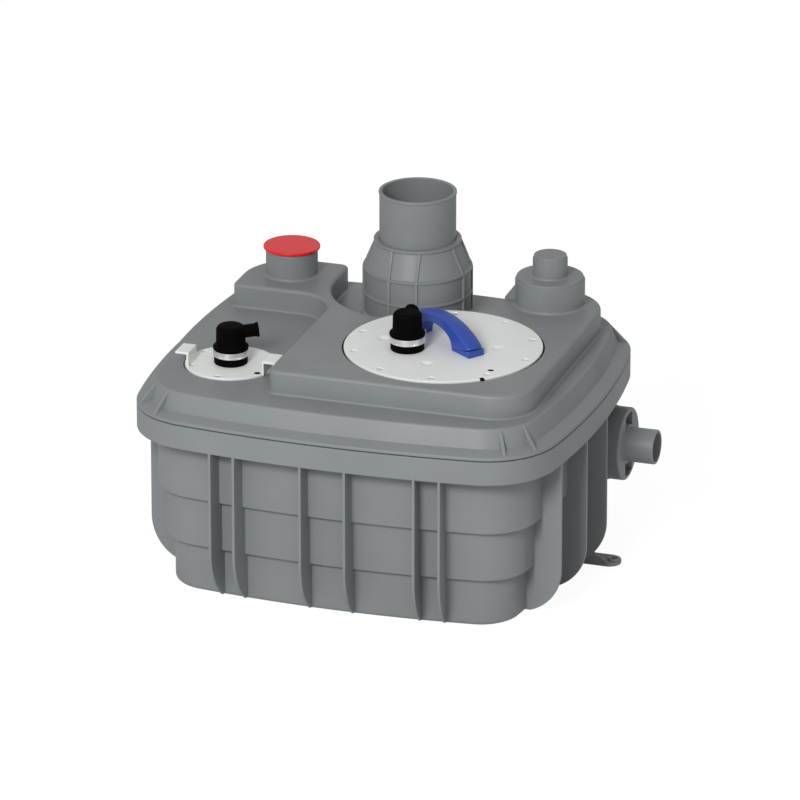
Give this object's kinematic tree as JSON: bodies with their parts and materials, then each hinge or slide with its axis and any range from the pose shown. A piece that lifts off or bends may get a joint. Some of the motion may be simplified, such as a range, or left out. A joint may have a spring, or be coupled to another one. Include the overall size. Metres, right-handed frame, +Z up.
{
  "type": "sewage lifting station",
  "caption": "Moulded sewage lifting station: ribbed tank, bolted lid plates, lift-out pump with handle, level sensor, vertical inlet, capped vent and side discharge",
  "frame": {"origin": "middle of the tank's underside, on the floor", "axes": "+Z up along the inlet, +X towards the discharge side, +Y to the rear where the inlet is"},
  "size_m": [0.698, 0.57, 0.488],
  "materials": {
    "grey_polyethylene": "moulded polyethylene, satin",
    "pale_plate": "moulded plastic, pale grey-white",
    "grip_blue": "moulded nylon, royal blue",
    "vent_red": "moulded plastic disc, red",
    "black_rubber": "moulded rubber",
    "stainless": "stainless steel",
    "motor_casting": "cast iron, coated",
    "copper_winding": "lacquered copper on laminated steel",
    "impeller_plastic": "glass-filled nylon",
    "float_shell": "polypropylene float"
  },
  "bodies": {
    "station": {"tank": "grey_polyethylene", "lid": "grey_polyethylene", "inlet_sleeve": "grey_polyethylene", "inlet_pipe": "grey_polyethylene", "pipe_seal": "black_rubber", "plate_seal": "black_rubber", "sensor_seal": "black_rubber", "coupling_seal": "black_rubber", "riser_pipe": "grey_polyethylene", "valve_body": "grey_polyethylene", "flap_pin": "stainless", "valve_screws": "stainless", "flange_gasket": "black_rubber", "discharge_flange": "grey_polyethylene", "discharge_bolts": "stainless"},
    "pump_unit": {"pump_plate": "pale_plate", "plate_screws": "stainless", "motor_bolts": "stainless", "bolt_plugs": "pale_plate", "handle": "grip_blue", "handle_screws": "stainless", "pump_boot": "black_rubber", "pump_boot_clamp": "stainless", "pump_clamp_screw": "stainless", "motor_housing": "motor_casting", "motor_cap": "motor_casting", "stator": "copper_winding", "upper_bearing": "stainless", "lower_bearing": "stainless", "shaft_seal": "black_rubber", "seal_plate": "motor_casting", "volute": "motor_casting", "volute_screws": "stainless", "pump_feet": "black_rubber"},
    "rotor_unit": {"rotor": "stainless", "shaft": "stainless", "impeller": "impeller_plastic", "impeller_screw": "stainless"},
    "sensor_unit": {"sensor_plate": "pale_plate", "sensor_screws": "stainless", "sensor_boot": "black_rubber", "sensor_boot_clamp": "stainless", "sensor_clamp_screw": "stainless", "guide_rod": "stainless", "float_stop": "black_rubber"},
    "float": {"level_float": "float_shell"},
    "flap": {"valve_flap": "black_rubber"},
    "cap": {"vent_cap": "vent_red"}
  },
  "joints": [
    {"name": "pump_lift", "type": "slide", "parent": "station", "child": "pump_unit", "axis": [0, 0, 1], "range_m": [0, 0.34]},
    {"name": "rotor_spin", "type": "hinge", "parent": "pump_unit", "child": "rotor_unit", "pos_m": [0.1, -0.045, 0.2], "axis": [0, 0, 1], "continuous": true},
    {"name": "sensor_lift", "type": "slide", "parent": "station", "child": "sensor_unit", "axis": [0, 0, 1], "range_m": [0, 0.26]},
    {"name": "float_slide", "type": "slide", "parent": "sensor_unit", "child": "float", "axis": [0, 0, 1], "range_m": [0, 0.11]},
    {"name": "flap_hinge", "type": "hinge", "parent": "station", "child": "flap", "pos_m": [0.189, 0.133, 0.18], "axis": [0, -1, 0], "range_deg": [0, 60]},
    {"name": "vent_cap_lift", "type": "slide", "parent": "station", "child": "cap", "axis": [0, 0, 1], "range_m": [0, 0.05]}
  ]
}
